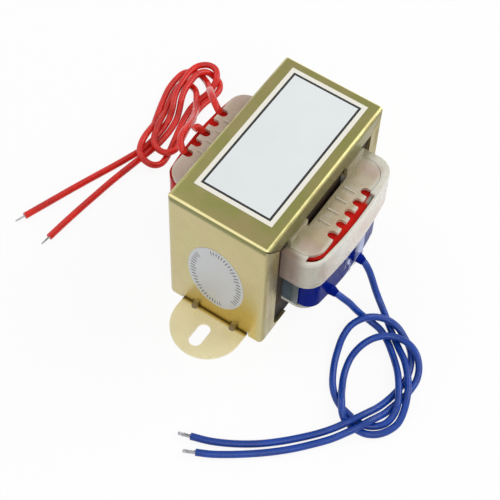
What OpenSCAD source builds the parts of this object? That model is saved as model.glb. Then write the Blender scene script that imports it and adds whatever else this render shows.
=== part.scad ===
// Laminated chassis transformer. A core of interleaved E and I steel sheets sits in a clamp
// frame folded from one sheet, with an ear and a bolt slot at each end. A two-section bobbin
// carries the primary winding in its upper section and the secondary in its lower one, each
// wrapped in tape. Four flying leads lie on the surface that the transformer stands on.
// Millimetres. +X runs from ear to ear, +Z is up, the secondary leads leave on the -Y side,
// and the origin is at the bottom centre of the frame.

/* [Core] */
// Length of a sheet, along X
lam_length = 57; // [56:0.5:58]
// Height of an E and its I together
core_height = 47.5; // [47:0.25:48]
// Number of sheets in the stack
layer_count = 31; // [29:2:31]
// Sheet to sheet distance
layer_pitch = 1; // [0.97:0.01:1]
// Steel in each layer, the rest of the pitch is the gap
layer_steel = 0.95; // [0.9:0.01:0.96]

/* [Clamp frame] */
// Thickness of the folded steel
sheet = 0.9; // [0.8:0.05:1]
// Width of the lips folded down from the top
top_lip = 6.5; // [5.5:0.25:7]
// Width of the lips folded round from the end plates
end_lip = 5.9; // [5:0.1:6.2]
// Open joint between a top lip and an end lip
mitre_gap = 0.4; // [0.3:0.1:0.6]
// Distance between the bolt slots
slot_pitch = 75; // [74:0.5:76]
// Width of a bolt slot
slot_width = 4.1; // [3.5:0.1:4.5]
// Length of a bolt slot
slot_length = 8.2; // [7:0.2:9]
// Length over both ears
ear_span = 89; // [88:0.5:91]
// Width of an ear
ear_width = 22.2; // [21:0.2:23]

/* [Bobbin] */
// Flange thickness
flange = 1.2; // [1:0.1:1.3]
// Height of the primary section, between its flanges
primary_section = 11.7; // [11.2:0.1:11.9]
// How far a flange reaches from the centre, along Y
flange_reach = 25.1; // [24.8:0.1:25.3]
// Inside length of the tube, along Y
tube_length = 34; // [33.6:0.2:34.2]
// Distance between the lead notches
notch_pitch = 4.35; // [4.1:0.05:4.5]
// Width of a lead notch
notch_width = 2.45; // [2.3:0.05:2.5]

/* [Windings and cover] */
// How far the primary's tape reaches, along Y
primary_reach = 26.8; // [26.4:0.1:26.9]
// How far the secondary's tape reaches, along Y
secondary_reach = 26.9; // [26.5:0.1:27]
// Tape build-up over a winding
tape = 0.3; // [0.2:0.05:0.4]
// How far the primary cover reaches, along Y
cover_reach = 28; // [27.9:0.1:28.4]
// Wall of the primary cover
cover_wall = 0.9; // [0.8:0.05:0.9]

/* [Leads] */
// Outside diameter of a lead
lead_d = 2.1; // [2:0.05:2.1]
// Bare conductor of a primary lead
primary_wire_d = 0.7; // [0.5:0.05:0.9]
// Bare conductor of a secondary lead
secondary_wire_d = 1.2; // [1:0.05:1.4]

/* [Hidden] */

eps = 0.01;
arc_steps = 8;                                  // straight steps in a quarter turn of a small fold

// core
stack = (layer_count - 1) * layer_pitch + layer_steel;
core_x = lam_length / 2;
core_y = stack / 2;
leg = lam_length / 6;                           // outer leg, yoke and window are all a sixth
core_z0 = sheet;
core_z1 = core_z0 + core_height;
window_z0 = core_z0 + leg;
window_z1 = core_z1 - leg;
e_height = core_height - leg;

// clamp frame
frame_fit = 0.1;                                // play between the core's ends and the end plates
lip_fit = 0.05;
in_x = core_x + frame_fit;
in_y = core_y + lip_fit;
out_x = in_x + sheet;
out_y = in_y + sheet;
out_z = core_z1 + sheet;
end_fold_r = 1;                                 // outside radius between top and end plates
lip_fold_r = 1.5;                               // outside radius of the folds to the lips
foot_fold_r = 1.8;
lip_x = out_x - end_lip;                        // inner edge of an end lip
toe_x = 17;                                     // where the lip's foot and its tab end
toe_height = 1.7;
toe_r = 3.2;                                    // hollow between the lip's edge and its foot
tab_x = 27;
tab_y = 11.6;
ear_r = ear_width / 2;
ear_end_x = ear_span / 2 - ear_r;
ear_relief = 0.5;                               // cut between an ear and the tabs beside it
relief_height = 2.6;
gusset_y = 6.6;
gusset_rise = 2;
gusset_width = 2;
gusset_groove = 1;

// bobbin, stacked down from the top flange
tube_x = leg + 0.7;
tube_y = tube_length / 2;
tube_wall = 1;
tube_out_x = tube_x + tube_wall;
tube_out_y = tube_y + tube_wall;
flange_x = 2 * leg - 0.2;
flange_r = 5.5;
top_z1 = window_z1 - 0.2;
top_z0 = top_z1 - flange;
mid_z1 = top_z0 - primary_section;
mid_z0 = mid_z1 - flange;
low_z0 = window_z0;
low_z1 = low_z0 + flange;
notch_count = 5;
notch_floor = flange_reach - 2.5;
comb_rib = 0.4;
comb_rib_height = 0.5;
comb_rib_y = 18.4;
key_rib = 1.2;                                  // raised ribs beside the slot at the core's face
key_rib_z = 42;

// windings
coil_r = 4.5;
coil_bow = 1;                                   // how much fuller a coil is at the middle of its side
coil_fit = 0.1;
winding_drop = 0.3;                             // a winding stops short of its section's top
primary_x = flange_x - 0.4;
secondary_x = flange_x - 0.6;
primary_z0 = mid_z1 + 0.1;
primary_z1 = top_z0 - 0.1;
secondary_z0 = low_z1 + 0.1;
secondary_z1 = mid_z0 - 0.1;
liner_x = flange_x - 0.1;
liner = 0.25;
liner_y = 20.7;

// primary cover
cover_x = 21.3;
cover_r = 6;
cover_bow = 1;
cover_z0 = mid_z1 + 0.2;
ledge = 1;                                      // height of the rim that closes onto the flange
ledge_near_y = -22.5;
ledge_far_x = 9.2;

// joint cover film
film = 0.25;
film_x0 = -8.2;
film_x1 = 6.3;
film_z0 = 11.8;
film_z1 = 25.6;

// label and sticker
paper = 0.1;
label_size = [49, 25.1];
label_centre = [2.1, -0.2];
sticker_size = [18.8, 28.4];
sticker_z = 21;

// leads
lead_sides = 8;

// Points along each lead's centreline, from where it leaves the transformer to its stripped end.
primary_a_route = [
    [8.7, 25, 37.8], [9.1, 26.4, 39.2], [10.2, 28.2, 39.7], [12.2, 30.4, 38.7], [15, 32.8, 36],
    [18, 35, 32], [21.4, 37.4, 26.4], [25, 39.8, 20], [28.8, 42.1, 13.6], [32.4, 44.4, 8.8],
    [35.4, 46.7, 5.8], [38, 49.4, 4], [40.6, 52.2, 1.6], [41.9, 55.1, 1.05], [41.5, 58.1, 1.05],
    [39, 60.2, 1.05], [35.2, 60.6, 1.05], [31, 60.2, 1.05], [27, 59.1, 1.05], [23.2, 57.9, 1.05],
    [19.8, 56.7, 1.05], [16.8, 55.6, 1.3], [13.8, 54.9, 2.4], [10.6, 54.3, 3.25], [7.2, 53.5, 3.3],
    [4.1, 51.8, 3.25], [2.6, 49.2, 3.1], [3.1, 46.4, 2], [5.5, 44.8, 1.1], [9, 44.9, 1.05],
    [13.2, 46, 1.05], [17.4, 47.2, 1.05], [21.2, 48.3, 1.05], [25, 49.2, 1.05], [29, 49.8, 1.05],
    [33, 49.6, 1.05], [36.8, 48.8, 1.2], [39.8, 48.5, 2.3], [42.6, 49.2, 3.5], [45, 51.4, 3.6],
    [45.2, 54.3, 3.4], [43.2, 56.8, 3.25], [40, 57.7, 3.2], [35.8, 57.4, 3.2], [31.4, 56.7, 3.2],
    [27.8, 55.5, 3.2], [24.6, 53.9, 2.7], [21.4, 52.9, 1.5], [17.8, 52.4, 1.05], [14, 52.2, 1.05],
    [10, 52.4, 1.05], [6, 53.1, 1.05], [2.2, 54.3, 1.05], [-1.6, 55.6, 1.05], [-6, 57.2, 1.05],
    [-11.6, 59.3, 1.05], [-18.8, 61.9, 1.05], [-26.6, 64.6, 1.05], [-34.1, 67.2, 1.05]];
primary_b_route = [
    [-8.9, 25, 38], [-8.5, 26.3, 39.2], [-7, 27.8, 39.9], [-4, 28.9, 39.4], [0.2, 30.1, 37.2],
    [4.6, 31.8, 33.8], [8.6, 34.2, 29.6], [12.6, 36.8, 24.6], [16.6, 39.5, 19], [20.4, 42, 13.8],
    [24, 44.4, 9.8], [27.4, 46.6, 6.9], [30.6, 48.8, 4.8], [33.6, 51, 3.1], [35.7, 53.3, 1.6],
    [36.4, 56, 1.05], [34.6, 58.1, 1.05], [31, 57.9, 1.05], [27, 56.8, 1.05], [23.6, 55.8, 1.2],
    [20.2, 54.8, 2.3], [16.8, 53.6, 3.3], [13.3, 52.4, 3.3], [10.2, 50.8, 3.3], [8.4, 48.3, 3.3],
    [8.4, 45.4, 3.3], [10.5, 43.5, 3.3], [13.7, 43.6, 3.1], [17.2, 44.7, 2.4], [21, 45.9, 1.3],
    [25, 46.9, 1.05], [29.2, 47.5, 1.05], [33.4, 47.3, 1.05], [37.2, 46.5, 1.05],
    [40.6, 46.7, 1.05], [43, 48.6, 1.05], [43.7, 51.1, 1.3], [43, 53.1, 2.7], [41.1, 54.4, 3.6],
    [38.6, 55, 3.8], [35.6, 54.9, 3.7], [32, 54.4, 3.7], [28.8, 53.4, 3.2], [25.8, 52.1, 2],
    [22.8, 51, 1.1], [19, 50.2, 1.05], [15, 49.9, 1.05], [11, 50, 1.05], [7, 50.6, 1.05],
    [3, 51.4, 1.05], [-1, 52.1, 1.05], [-5, 52.8, 1.05], [-9.5, 53.5, 1.05], [-15, 54.2, 1.05],
    [-21.5, 55, 1.05], [-29, 55.8, 1.05], [-35.9, 56.4, 1.05]];
secondary_a_route = [
    [-9.4, -27, 12.6], [-9.3, -28.7, 12.1], [-8.9, -30.6, 10.9], [-8.2, -32.3, 9.1],
    [-7.4, -34.1, 6.3], [-6.5, -36.1, 3.6], [-5.9, -38.9, 1.8], [-6.3, -42.5, 1.05],
    [-8.5, -46.2, 1.05], [-11.4, -49.6, 1.2], [-14.6, -52.6, 2.2], [-17.6, -54.9, 3.1],
    [-20.7, -56.9, 3.3], [-23.6, -58.5, 3.3], [-26.4, -59.6, 2.9], [-29, -59.7, 1.4],
    [-31.5, -59, 1.05], [-33.6, -57.3, 1.05], [-35, -54.9, 1.05], [-35.3, -52, 1.05],
    [-34.7, -49, 1.05], [-33.8, -45.8, 1.05], [-32, -42.9, 1.05], [-29.4, -40.5, 1.05],
    [-26.2, -38.6, 1.05], [-22.7, -37, 1.05], [-19.1, -35.8, 1.3], [-15.4, -35, 2.5],
    [-11.6, -35.3, 4.2], [-8, -37.2, 5], [-5.2, -39.8, 4.4], [-3.6, -43.1, 3.5],
    [-3.6, -46.4, 2.8], [-4.8, -49.8, 1.4], [-7, -52.9, 1.05], [-10.1, -55.1, 1.05],
    [-13.6, -56.4, 1.05], [-17.3, -56.9, 1.05], [-21, -56.6, 1.05], [-24.7, -55.9, 1.05],
    [-28.2, -54.9, 1.4], [-31.4, -53.8, 2.6], [-34.8, -52.3, 3.3], [-38, -50.5, 3.2],
    [-41.2, -48.1, 2], [-44.6, -45.2, 1.1], [-48.6, -41.7, 1.05], [-52.8, -37.6, 1.05],
    [-56.8, -33, 1.05], [-60.5, -27.6, 1.05], [-63.5, -21.9, 1.05], [-65.4, -16.5, 1.05]];
secondary_b_route = [
    [4.4, -27.8, 12.6], [4.3, -29.4, 12], [3.8, -31.3, 10.4], [3.2, -33, 8.1], [2.5, -34.8, 5.2],
    [1.5, -37, 2.7], [-0.5, -40.1, 1.3], [-3.4, -43.6, 1.05], [-6.3, -47.1, 1.05],
    [-9, -50.4, 1.5], [-11.8, -53.5, 2.8], [-14.9, -56.2, 3.3], [-18.3, -58.6, 3.3],
    [-21.8, -60.3, 3.2], [-25.6, -61.6, 2.2], [-29.3, -62, 1.1], [-32.8, -60.9, 1.05],
    [-35.4, -59, 1.05], [-37.1, -56.3, 1.05], [-37.5, -53.3, 1.05], [-37.3, -51, 1.05],
    [-36.9, -49, 1.6], [-35.8, -47.4, 2.8], [-33.9, -46.1, 3.3], [-31.7, -44.7, 3],
    [-28.9, -43.3, 1.6], [-25.7, -41.8, 1.05], [-22.2, -40.7, 1.05], [-18.4, -40.2, 1.3],
    [-14.6, -40.9, 2.4], [-11.2, -42.7, 3.4], [-8.4, -45.4, 3.5], [-6.9, -48.8, 3.4],
    [-6.9, -52.4, 3.3], [-8.5, -55.7, 3], [-11, -58.1, 1.8], [-14.2, -59.4, 1.1],
    [-17.8, -59.6, 1.05], [-21.5, -59.2, 1.05], [-25.1, -58.3, 1.05], [-28.6, -57.4, 1.2],
    [-31.5, -56.5, 2.4], [-34.4, -55.4, 3.4], [-37.6, -53.8, 3.3], [-40.8, -51.6, 2.3],
    [-44.2, -49, 1.2], [-48.2, -45.7, 1.05], [-52.8, -41.6, 1.05], [-57.6, -36.5, 1.05],
    [-62.3, -30.6, 1.05], [-66.3, -24.8, 1.05], [-68.6, -20.4, 1.05]];
// The third primary tap is cut short and hooks over the flange.
stub_route = [[0.1, 25, 38.2], [0, 26, 39.2], [-0.5, 26.8, 39.7], [-1.6, 26.95, 39.5]];
primary_tip = 3.6;
secondary_tip = 4;

// A quarter turn of straight steps about centre, starting at angle start.
function quarter(centre, r, start) =
    [for (i = [0 : arc_steps]) let (a = start + 90 * i / arc_steps)
        [centre[0] + r * cos(a), centre[1] + r * sin(a)]];

// A rectangle of half sizes x and y with round corners.
function rounded(x, y, r) = concat(
    quarter([x - r, y - r], r, 0), quarter([r - x, y - r], r, 90),
    quarter([r - x, r - y], r, 180), quarter([x - r, r - y], r, 270));

// The +Y half of a rounded rectangle whose long side bows outwards by bow.
function bowed_half(x, y, r, bow) = concat(
    quarter([x - r, y - bow - r], r, 0),
    [for (i = [1 : 2 * arc_steps - 1]) let (u = 1 - i / arc_steps)
        [u * (x - r), y - bow * u * u]],
    quarter([r - x, y - bow - r], r, 90));

function bowed(x, y, r, bow) =
    let (half = bowed_half(x, y, r, bow)) concat(half, [for (p = half) -p]);

// Copies at +X and -X.
module both_ends() {
    children();
    mirror([1, 0, 0]) children();
}

// Copies at +Y and -Y.
module both_sides() {
    children();
    mirror([0, 1, 0]) children();
}

// An XZ outline made into a slab between two Y positions.
module slab_y(y0, y1) {
    translate([0, y1, 0]) rotate([90, 0, 0]) linear_extrude(y1 - y0) children();
}

// ---- clamp frame ----

// The folded box's outside, rounded along its folds.
module frame_outside() {
    intersection() {
        slab_y(-out_y, out_y)
            polygon(concat([[-out_x, 0], [out_x, 0]],
                           quarter([out_x - end_fold_r, out_z - end_fold_r], end_fold_r, 0),
                           quarter([end_fold_r - out_x, out_z - end_fold_r], end_fold_r, 90)));
        linear_extrude(out_z) polygon(rounded(out_x, out_y, lip_fold_r));
        rotate([90, 0, 90]) linear_extrude(2 * out_x, center = true)
            polygon(concat(
                quarter([out_y - lip_fold_r, out_z - lip_fold_r], lip_fold_r, 0),
                quarter([lip_fold_r - out_y, out_z - lip_fold_r], lip_fold_r, 90),
                quarter([foot_fold_r - out_y, foot_fold_r], foot_fold_r, 180),
                quarter([out_y - foot_fold_r, foot_fold_r], foot_fold_r, 270)));
    }
}

// The open middle of the long sides, between the lips and above the feet.
module side_opening() {
    polygon(concat(
        [[-toe_x, toe_height], [-toe_x, -1], [toe_x, -1], [toe_x, toe_height]],
        [for (i = [0 : arc_steps]) let (a = 270 + 90 * i / arc_steps)
            [lip_x - toe_r + toe_r * cos(a), toe_height + 0.3 + toe_r + toe_r * sin(a)]],
        [[lip_x, out_z - top_lip], [-lip_x, out_z - top_lip]],
        [for (i = [0 : arc_steps]) let (a = 180 + 90 * i / arc_steps)
            [toe_r - lip_x + toe_r * cos(a), toe_height + 0.3 + toe_r + toe_r * sin(a)]]));
}

module ear() {
    linear_extrude(sheet) difference() {
        union() {
            translate([in_x, -ear_r]) square([ear_end_x - in_x, ear_width]);
            intersection() {
                translate([ear_end_x, 0]) circle(r = ear_r, $fn = 96);
                translate([ear_end_x, -ear_r]) square([ear_r, ear_width]);
            }
        }
        translate([slot_pitch / 2, 0]) {
            square([slot_length - slot_width, slot_width], center = true);
            for (side = [-1, 1])
                translate([side * (slot_length - slot_width) / 2, 0])
                    circle(d = slot_width, $fn = 48);
        }
    }
}

// A short rib pressed into the ear's fold, seen from inside as a groove.
module gusset() {
    hull() {
        gusset_wedge(gusset_width / 2, gusset_rise * 0.7);
        gusset_wedge(gusset_width / 4, gusset_rise);
    }
}

module gusset_wedge(y, rise) {
    slab_y(-y, y)
        polygon([[out_x - eps, sheet - eps], [out_x + rise, sheet - eps],
                 [out_x - eps, sheet + rise]]);
}

module gusset_groove() {
    slab_y(-gusset_groove / 2, gusset_groove / 2)
        polygon([[in_x - 0.5, -1], [in_x + gusset_rise + 1, -1],
                 [in_x + gusset_rise * 0.9, 0], [in_x, gusset_rise * 0.9],
                 [in_x - 0.5, gusset_rise * 0.9]]);
}

module shell() {
    color([0.72, 0.68, 0.42]) difference() {
        union() {
            difference() {
                frame_outside();
                translate([-in_x, -in_y, -1]) cube([2 * in_x, 2 * in_y, core_z1 + 1]);
                slab_y(-out_y - 1, out_y + 1) side_opening();
            }
            both_ends() {
                ear();
                both_sides() {
                    translate([toe_x, tab_y, 0]) cube([tab_x - toe_x, in_y - tab_y + eps, sheet]);
                    translate([0, gusset_y, 0]) gusset();
                }
            }
        }
        both_ends() both_sides() {
            translate([lip_x, 0, out_z - top_lip]) rotate([0, -45, 0])
                translate([-0.3, core_y - 0.1, -mitre_gap / 2]) cube([2 * end_lip, 3, mitre_gap]);
            translate([in_x - 1, ear_r, -1]) cube([4, ear_relief, 1 + relief_height]);
            translate([0, gusset_y, 0]) gusset_groove();
        }
    }
}

// ---- core ----

module e_outline() {
    difference() {
        translate([-core_x, core_z0]) square([lam_length, e_height]);
        for (side = [-1, 1])
            translate([side * 1.5 * leg - leg / 2, window_z0]) square([leg, e_height]);
    }
}

// Turns what stands in the core upside down within it.
module flip_core() {
    translate([0, 0, core_z0 + core_z1]) mirror([0, 0, 1]) children();
}

// The sheets alternate, an E standing on its yoke and then one hanging from it.
module layers(first) {
    for (i = [first : 2 : layer_count - 1])
        translate([0, i * layer_pitch - core_y, 0]) slab_y(0, layer_steel) children();
}

module e_laminations() {
    color([0.22, 0.21, 0.2]) {
        layers(0) e_outline();
        flip_core() layers(1) e_outline();
    }
}

module i_laminations() {
    color([0.26, 0.25, 0.24]) {
        layers(0) translate([-core_x, window_z1]) square([lam_length, leg]);
        flip_core() layers(1) translate([-core_x, window_z1]) square([lam_length, leg]);
    }
}

// ---- bobbin ----

module flange_outline() {
    polygon(rounded(flange_x, flange_reach, flange_r));
}

module notch_outline() {
    r = notch_width / 2;
    polygon(concat([[r, notch_width + 1], [-r, notch_width + 1]],
                   quarter([0, r], r, 180), quarter([0, r], r, 270)));
}

// Notches for the leads, and thin ribs between them.
module comb() {
    for (i = [0 : notch_count - 1])
        translate([(i - (notch_count - 1) / 2) * notch_pitch, notch_floor, top_z0 - 1])
            linear_extrude(flange + 3) notch_outline();
}

module comb_ribs() {
    for (i = [0 : notch_count - 2])
        translate([(i - (notch_count - 2) / 2) * notch_pitch - comb_rib / 2, comb_rib_y, top_z1 - eps])
            cube([comb_rib, notch_floor - comb_rib_y - 0.5, comb_rib_height + eps]);
}

module bobbin() {
    color([0.9, 0.89, 0.85]) difference() {
        union() {
            translate([0, 0, low_z0]) linear_extrude(flange) flange_outline();
            translate([0, 0, mid_z0]) linear_extrude(flange) flange_outline();
            translate([0, 0, top_z0]) linear_extrude(flange) flange_outline();
            translate([-tube_out_x, -tube_out_y, low_z0])
                cube([2 * tube_out_x, 2 * tube_out_y, top_z1 - low_z0]);
            both_sides() {
                comb_ribs();
                both_ends() translate([tube_x, tube_y - key_rib, top_z0])
                    cube([flange_x - tube_x, key_rib, key_rib_z - top_z0]);
            }
        }
        translate([-tube_x, -tube_y, low_z0 - 1])
            cube([2 * tube_x, 2 * tube_y, key_rib_z - low_z0 + 2]);
        both_sides() comb();
    }
}

// ---- windings, tape and film ----

// A coil section from the tube out to its tape.
module winding(x, reach, z0, z1) {
    inset = tape + coil_fit;
    translate([0, 0, z0]) linear_extrude(z1 - z0) difference() {
        polygon(bowed(x - inset, reach - inset, coil_r - inset, coil_bow));
        square([2 * tube_out_x, 2 * tube_out_y], center = true);
    }
}

module tape_ring(x, reach, z0, z1) {
    translate([0, 0, z0]) linear_extrude(z1 - z0) difference() {
        polygon(bowed(x, reach, coil_r, coil_bow));
        polygon(bowed(x - tape, reach - tape, coil_r - tape, coil_bow));
    }
}

module primary_winding() {
    color([0.72, 0.38, 0.2]) winding(primary_x, primary_reach, primary_z0, primary_z1 - winding_drop);
}

module primary_tape() {
    color([0.8, 0.13, 0.12]) tape_ring(primary_x, primary_reach, primary_z0, primary_z1);
}

module secondary_winding() {
    color([0.72, 0.38, 0.2]) winding(secondary_x, secondary_reach, secondary_z0, secondary_z1 - winding_drop);
}

module secondary_tape() {
    color([0.1, 0.13, 0.5]) tape_ring(secondary_x, secondary_reach, secondary_z0, secondary_z1);
}

// A folded film over the secondary's joints, lifted where the two leads start.
module joint_cover() {
    y = secondary_reach + coil_fit;
    middle = (film_x0 + film_x1) / 2;
    color([0.75, 0.8, 0.95]) translate([0, 0, film_z0]) linear_extrude(film_z1 - film_z0)
        polygon([[film_x0, -y], [film_x1, -y], [film_x1, -y - film], [middle + 1, -y - 2 * film],
                 [middle - 1, -y - film], [middle - 3, -y - 2 * film], [film_x0, -y - film]]);
}

module window_liners() {
    color([0.6, 0.67, 0.75]) both_ends()
        translate([liner_x - liner, -liner_y, secondary_z0])
            cube([liner, 2 * liner_y, secondary_z1 - secondary_z0]);
}

// ---- primary cover ----

module cover_outline(inset) {
    half = bowed_half(cover_x - inset, cover_reach - inset, cover_r - inset, cover_bow);
    polygon(concat([[cover_x - inset, in_y]], half, [[inset - cover_x, in_y]]));
}

// A shroud round three sides of the primary, with a rim that meets the flange at its ends.
module primary_cover() {
    color([0.88, 0.87, 0.82]) mirror([0, 1, 0]) {
        translate([0, 0, cover_z0]) linear_extrude(top_z1 - cover_z0) difference() {
            cover_outline(0);
            difference() {
                cover_outline(cover_wall);
                translate([-cover_x, 0]) square([2 * cover_x, in_y]);
            }
            translate([-cover_x - 1, 0]) square([2 * cover_x + 2, in_y]);
        }
        translate([0, 0, top_z1 - ledge]) linear_extrude(ledge) difference() {
            intersection() {
                cover_outline(cover_wall / 2);
                union() {
                    translate([-cover_x, in_y]) square([cover_x, -ledge_near_y - in_y]);
                    translate([ledge_far_x, in_y]) square([cover_x, cover_reach]);
                }
            }
            polygon(rounded(flange_x + coil_fit / 2, flange_reach + coil_fit / 2, flange_r));
        }
    }
}

// ---- label and sticker ----

module label() {
    color([0.93, 0.95, 0.96])
        translate([label_centre[0], label_centre[1], out_z + paper / 2])
            cube([label_size[0], label_size[1], paper], center = true);
}

module round_sticker() {
    color([0.8, 0.81, 0.82]) translate([-out_x, 0, sticker_z]) rotate([90, 0, -90])
        linear_extrude(paper) polygon([for (i = [0 : 71]) let (a = 5 * i)
            [sticker_size[0] / 2 * cos(a), sticker_size[1] / 2 * sin(a)]]);
}

// ---- leads ----

function unit(v) = v / norm(v);

function direction(route, i) =
    unit(route[min(i + 1, len(route) - 1)] - route[max(i - 1, 0)]);

// Each ring's first side vector is the one before it, turned to stay square to the route.
function carried(route, i, v) =
    let (d = direction(route, i)) unit(v - (v * d) * d);

function side_vectors(route, i, v) =
    i >= len(route) ? [] :
    let (w = carried(route, i, v)) concat([w], side_vectors(route, i + 1, w));

// A tube of diameter d swept along route, closed at both ends.
module tube_along(route, d) {
    n = len(route);
    sides = side_vectors(route, 0, [0.31, 0.17, 0.94]);
    points = [for (i = [0 : n - 1]) let (w = sides[i], v = cross(direction(route, i), w))
        for (k = [0 : lead_sides - 1]) let (a = 360 * k / lead_sides)
            route[i] + d / 2 * (cos(a) * w + sin(a) * v)];
    walls = [for (i = [0 : n - 2], k = [0 : lead_sides - 1], half = [0, 1])
        let (k1 = (k + 1) % lead_sides, a = i * lead_sides, b = a + lead_sides)
        half == 0 ? [a + k, b + k, b + k1] : [a + k, b + k1, a + k1]];
    polyhedron(points, concat(walls,
        [[for (k = [0 : lead_sides - 1]) k]],
        [[for (k = [lead_sides - 1 : -1 : 0]) (n - 1) * lead_sides + k]]));
}

// The stripped end that follows a lead.
module tip_of(route, wire_d, length) {
    last = len(route) - 1;
    end = route[last];
    along = unit(end - route[last - 1]);
    color([0.75, 0.75, 0.76])
        tube_along([end, end + length / 2 * along, end + length * along], wire_d);
}

module primary_lead_a() { color([0.85, 0.2, 0.16]) tube_along(primary_a_route, lead_d); }
module primary_lead_b() { color([0.85, 0.2, 0.16]) tube_along(primary_b_route, lead_d); }
module secondary_lead_a() { color([0.12, 0.3, 0.72]) tube_along(secondary_a_route, lead_d); }
module secondary_lead_b() { color([0.12, 0.3, 0.72]) tube_along(secondary_b_route, lead_d); }
module primary_stub() { color([0.85, 0.2, 0.16]) tube_along(stub_route, lead_d); }
module primary_lead_a_tip() { tip_of(primary_a_route, primary_wire_d, primary_tip); }
module primary_lead_b_tip() { tip_of(primary_b_route, primary_wire_d, primary_tip); }
module secondary_lead_a_tip() { tip_of(secondary_a_route, secondary_wire_d, secondary_tip); }
module secondary_lead_b_tip() { tip_of(secondary_b_route, secondary_wire_d, secondary_tip); }

shell();
e_laminations();
i_laminations();
bobbin();
primary_winding();
primary_tape();
primary_cover();
secondary_winding();
secondary_tape();
joint_cover();
window_liners();
label();
round_sticker();
primary_stub();
primary_lead_a();
primary_lead_a_tip();
primary_lead_b();
primary_lead_b_tip();
secondary_lead_a();
secondary_lead_a_tip();
secondary_lead_b();
secondary_lead_b_tip();
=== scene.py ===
"""Laminated chassis transformer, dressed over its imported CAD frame. Blender 4.5."""
import math

import bmesh
import bpy
from mathutils import Matrix, Vector, noise


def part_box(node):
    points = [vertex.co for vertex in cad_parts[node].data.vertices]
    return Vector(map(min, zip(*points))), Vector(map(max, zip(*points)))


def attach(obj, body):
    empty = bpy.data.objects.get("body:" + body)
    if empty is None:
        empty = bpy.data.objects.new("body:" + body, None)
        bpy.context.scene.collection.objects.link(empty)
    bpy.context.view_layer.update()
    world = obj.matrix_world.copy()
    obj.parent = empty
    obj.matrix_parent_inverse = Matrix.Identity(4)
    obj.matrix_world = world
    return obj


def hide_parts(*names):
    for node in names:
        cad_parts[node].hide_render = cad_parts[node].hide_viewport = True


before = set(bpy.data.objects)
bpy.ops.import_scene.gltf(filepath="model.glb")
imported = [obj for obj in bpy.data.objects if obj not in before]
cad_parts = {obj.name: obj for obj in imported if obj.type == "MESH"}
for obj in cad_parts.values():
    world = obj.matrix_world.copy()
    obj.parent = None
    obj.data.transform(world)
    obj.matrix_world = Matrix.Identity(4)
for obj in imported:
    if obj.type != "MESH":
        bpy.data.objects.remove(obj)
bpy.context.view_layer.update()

bl_info = {
    "name": "Chassis Transformer",
    "version": (1, 0, 0),
    "blender": (4, 5, 0),
    "location": "View3D > Sidebar > Transformer",
    "description": "Dresses a laminated chassis transformer with two pairs of flying leads",
    "category": "Add Mesh",
}

MM = 0.001

MERGE_DISTANCE = 0.004 * MM
FLAT_ANGLE = math.radians(0.6)  # faces that meet at less are made one
EDGE_ANGLE = math.radians(32)  # edges that turn by more are rounded
PAPER_EDGE = 0.02 * MM
PRINT_THICKNESS = 0.006 * MM
COIL_CORNER = 4.5 * MM
COIL_BOW = 1.0 * MM  # how far a coil's long sides bow outwards
RESTING = 1.05  # height of a lead's middle on the floor, in millimetres
RIB_Y = 6.6  # an ear's middle to the ribs in its fold, in millimetres
RIM = 1.4  # the label's rim, in millimetres
WAVE_FACTOR = 20  # the wave texture multiplies its scale by this

CAMERA_TURNS = (-58.64, 57.419, 2.975)  # azimuth, elevation and roll, in degrees
CAMERA_TARGET = (-18.184, -3.845, 25.0)  # in millimetres
CAMERA_DISTANCE = 0.395636
CAMERA_LENS = 101.4
FLOOR_DROP = 0.02 * MM  # keeps the floor clear of what lies on it


def srgb(red, green, blue):
    """A colour given from 0 to 255, as Blender's linear numbers."""
    return tuple((c / 255 / 12.92) if c <= 10 else ((c / 255 + 0.055) / 1.055) ** 2.4
                 for c in (red, green, blue))


RUST = srgb(92, 66, 42)
SCRATCHED = srgb(150, 146, 138)
DUST = srgb(150, 140, 120)
CHAFED = srgb(235, 225, 225)


def colour(name, about, red, green, blue):
    """A setting for a colour, from 0 to 255."""
    return bpy.props.FloatVectorProperty(
        name=name, description=about, subtype="COLOR", size=3, min=0, max=1,
        default=srgb(red, green, blue))


def length(name, about, millimetres, least, most):
    """A setting for a length, in millimetres."""
    return bpy.props.FloatProperty(
        name=name, description=about, subtype="DISTANCE", unit="LENGTH",
        default=millimetres * MM, min=least * MM, max=most * MM, precision=5)


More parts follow.
